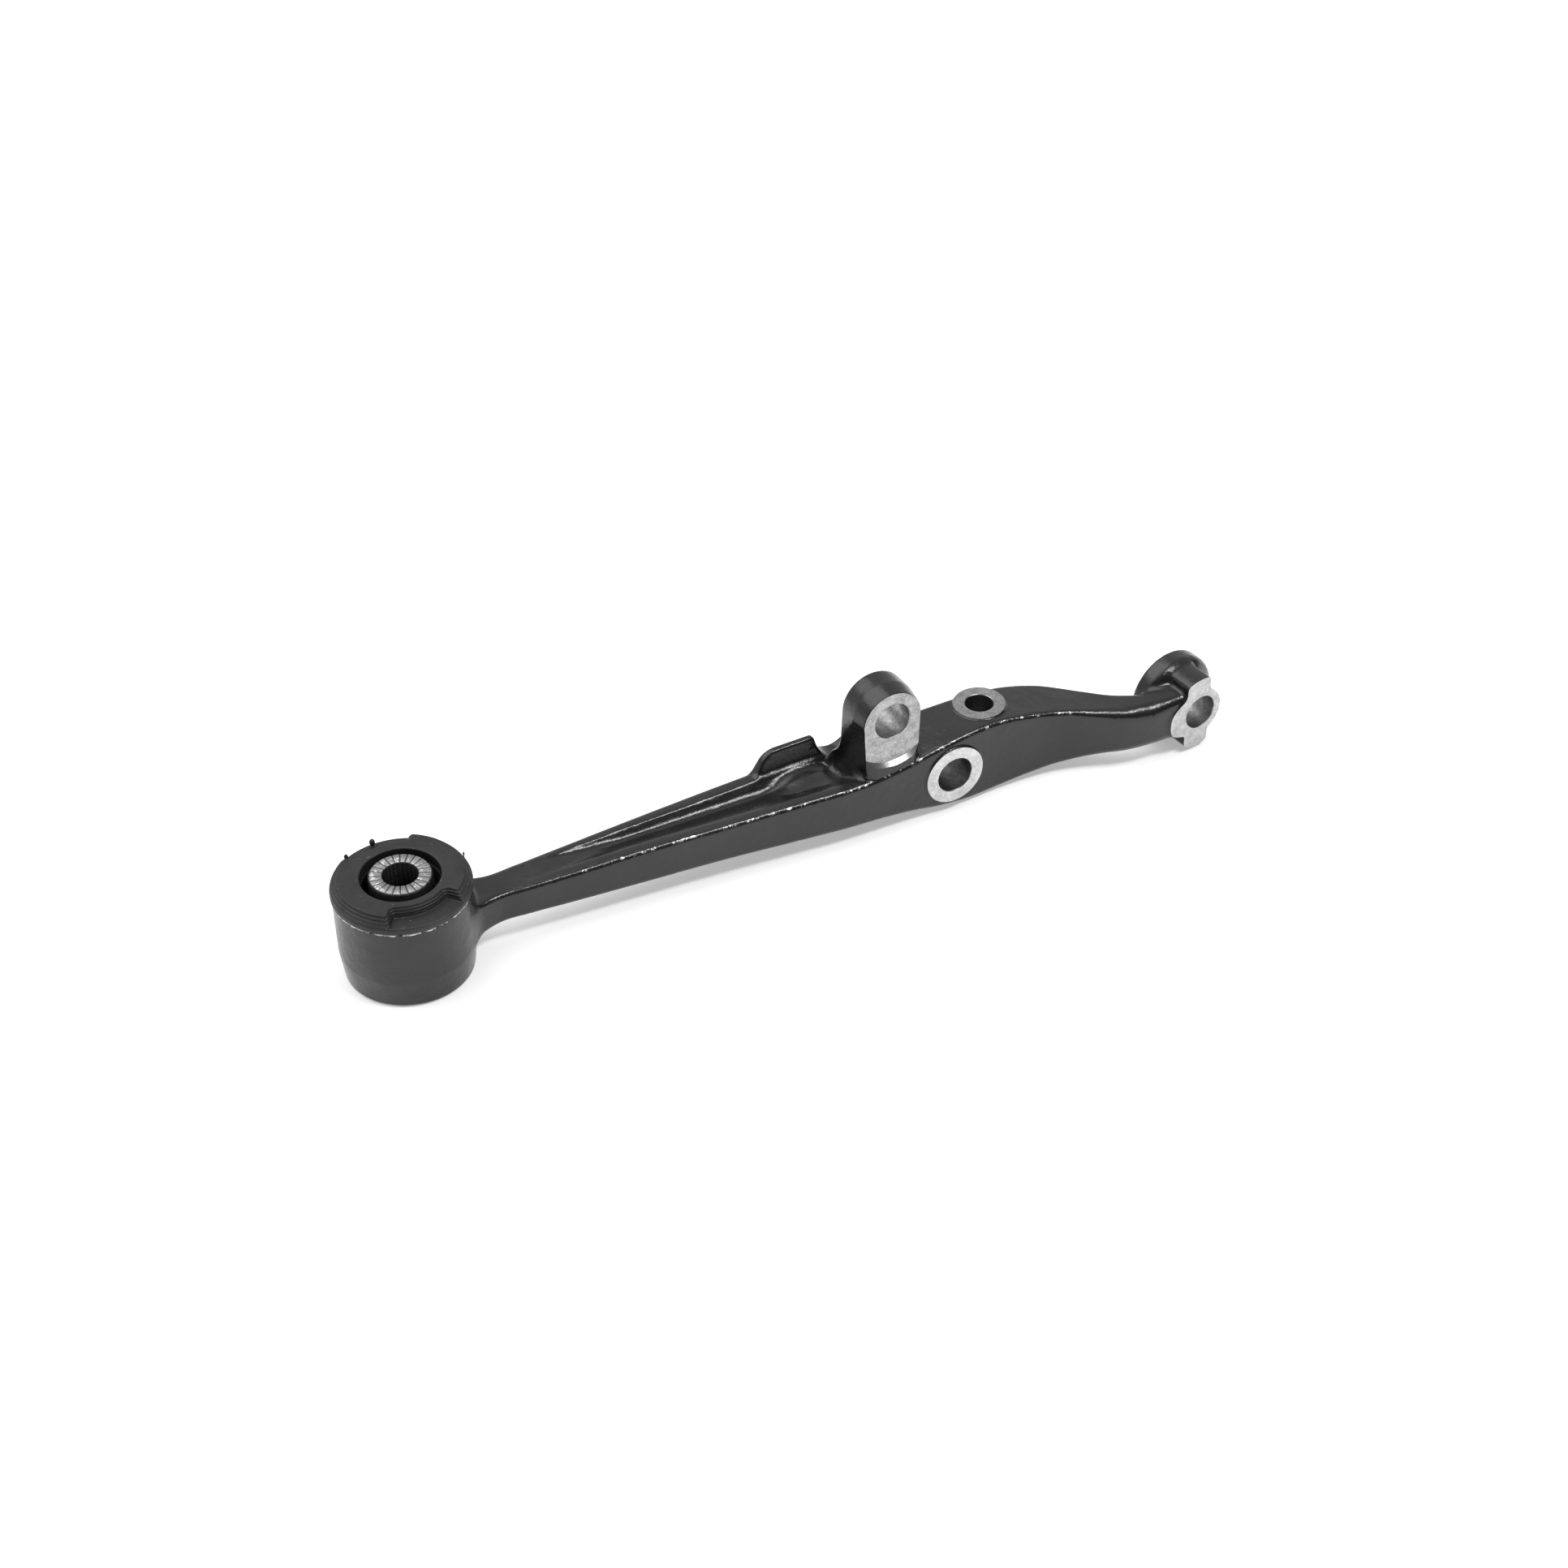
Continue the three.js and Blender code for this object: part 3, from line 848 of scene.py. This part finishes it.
def note_wear_and_glints(arm):
    """Marks the rim that the press scraped, where the paint is thin and the bare line is also a painted
    highlight, and bare spots along the link's long front edge that are painted glints.
    """
    count = len(arm.data.vertices)
    points = np.empty(count * 3, np.float32)
    arm.data.vertices.foreach_get("co", points)
    points = in_bush(points.reshape(-1, 3))
    radial = np.hypot(points[:, 0], points[:, 1])
    below = HOUSING["top"] - points[:, 2]
    # The rim's bare line: paint scraped by the press, and a painted highlight along its edge.
    rim = np.clip(1.5 - np.abs(radial - HOUSING["radius"]) / 0.9, 0, 1)
    rim = rim * np.clip(1.6 - below / 1.1, 0, 1)
    # Bare spots along the link's front edge are painted glints.
    front, _, half = link_at(points[:, 0].clip(45, 335))
    from_ridge = np.hypot(points[:, 1] - front - 0.6, np.abs(points[:, 2] - MID_Z) - half + 0.6)
    along = np.interp(points[:, 0], (45, 70, 300, 335), (0, 1, 1, 0))
    ridge = np.clip(1.4 - from_ridge / 1.3, 0, 1) * along
    wear_and_glint = arm.data.attributes.new("wear_and_glint", "FLOAT", "POINT")
    worn_and_glint = np.maximum(WEAR_AND_GLINT["rim"] * rim, WEAR_AND_GLINT["ridge"] * ridge)
    wear_and_glint.data.foreach_set("value", worn_and_glint.astype(np.float32))


def dress(piece, body, node, material=None):
    if material is not None:
        piece.data.materials.clear()
        piece.data.materials.append(material)
    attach(piece, body)
    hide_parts(node)


def build_arm():
    arm = raw_forging()
    arm.data.materials.append(black_paint())
    bright = machined_steel("faced_steel", 0.46, 0.62, 0.32)
    dull = machined_steel("spot_faced_steel", 0.24, 0.40, 0.26)
    satin = machined_steel("milled_steel", 0.36, 0.50, 0.34)
    # The bores get a darker copy of the machined steel: painted shade inside the holes.
    shaded_bore_steel = machined_steel("bored_steel_painted_shade", 0.18, 0.32, 0.30)
    machine(arm, bright, satin, dull, shaded_bore_steel)
    crisp_edges(arm)
    note_turning(arm)
    note_wear_and_glints(arm)
    dress(arm, "arm", "arm_forging")


def build_bush():
    rubber = bush_rubber()
    dress(stop_flange(), "arm", "bush_stop_flange", rubber)
    dress(rubber_core(), "arm", "bush_rubber_core", rubber)
    dress(outer_shell(), "arm", "bush_outer_shell", coated_steel())
    dress(inner_sleeve(), "inner_sleeve", "bush_inner_sleeve", zinc_steel())


# ---------------------------------------------------------------- studio

CAMERA = {
    "place": (-0.45724, -0.83473, 0.78119),
    "yaw": 28.5,
    "pitch": 38.33,
    "roll": -0.75,
    "lens": 67.08,
    "sensor": 36,
}
KEY = {"from": (-0.5, 0.5, 1.3), "energy": 1.65, "spread": 60}
STRIPS = (
    {"name": "strip", "at": (0.52, -0.56, 1.16), "size": (0.36, 0.12), "power": 7},
    {"name": "side_strip", "at": (0.20, -0.57, 1.18), "size": (0.28, 0.12), "power": 4},
)
FLOOR_REACH = 6


def camera():
    yaw, pitch, roll = (math.radians(CAMERA[name]) for name in ("yaw", "pitch", "roll"))
    ahead = Vector((math.sin(yaw) * math.cos(pitch), math.cos(yaw) * math.cos(pitch), -math.sin(pitch)))
    level = Vector((math.cos(yaw), -math.sin(yaw), 0))
    upright = level.cross(ahead)
    right = level * math.cos(roll) + upright * math.sin(roll)
    up = upright * math.cos(roll) - level * math.sin(roll)
    data = bpy.data.cameras.new("camera")
    data.lens = CAMERA["lens"]
    data.sensor_width = CAMERA["sensor"]
    view = bpy.data.objects.new("camera", data)
    turn = Matrix((right, up, -ahead)).transposed().to_4x4()
    view.matrix_world = Matrix.Translation(CAMERA["place"]) @ turn
    bpy.context.scene.collection.objects.link(view)
    bpy.context.scene.camera = view


def floor():
    bm = bmesh.new()
    bmesh.ops.create_grid(bm, x_segments=8, y_segments=8, size=FLOOR_REACH)
    mesh = bpy.data.meshes.new("floor")
    bm.to_mesh(mesh)
    bm.free()
    ground = bpy.data.objects.new("floor", mesh)
    ground.data.materials.append(studio_floor())
    bpy.context.scene.collection.objects.link(ground)


def key_light():
    """A broad light from behind on the left, whose shadow falls softly towards the camera."""
    data = bpy.data.lights.new("key", "SUN")
    data.energy = KEY["energy"]
    data.angle = math.radians(KEY["spread"])
    key = bpy.data.objects.new("key", data)
    key.rotation_euler = Vector(KEY["from"]).to_track_quat("Z", "Y").to_euler()
    bpy.context.scene.collection.objects.link(key)


def soft_box(name, at, size, power):
    """A small window of light that faces the part's middle and glints along its edges."""
    data = bpy.data.lights.new(name, "AREA")
    data.shape = "RECTANGLE"
    data.size, data.size_y = size
    data.energy = power
    box = bpy.data.objects.new(name, data)
    box.location = at
    box.rotation_euler = (-Vector(at)).to_track_quat("-Z", "Y").to_euler()
    bpy.context.scene.collection.objects.link(box)


def sky():
    """Light from behind and above, with darkness low in front, as under a hood."""
    world = bpy.data.worlds.new("studio")
    world.use_nodes = True
    nodes = Nodes(world.node_tree)
    way = nodes.add("ShaderNodeSeparateXYZ")
    nodes.feed(way.inputs[0], nodes.add("ShaderNodeTexCoord").outputs["Generated"])
    in_front = nodes.ramp(way.outputs["Z"], 0.25, 0.9, 0.05, 0.35)
    strength = nodes.ramp(way.outputs["Y"], -0.2, 0.4, in_front, 0.75)
    background = world.node_tree.nodes["Background"]
    nodes.feed(background.inputs["Strength"], strength)
    nodes.feed(background.inputs["Color"], (1, 1, 1, 1))
    bpy.context.scene.world = world


def studio():
    floor()
    key_light()
    for strip in STRIPS:
        soft_box(**strip)
    sky()
    bpy.context.scene.view_settings.view_transform = "Standard"


camera()
build_arm()
build_bush()
studio()
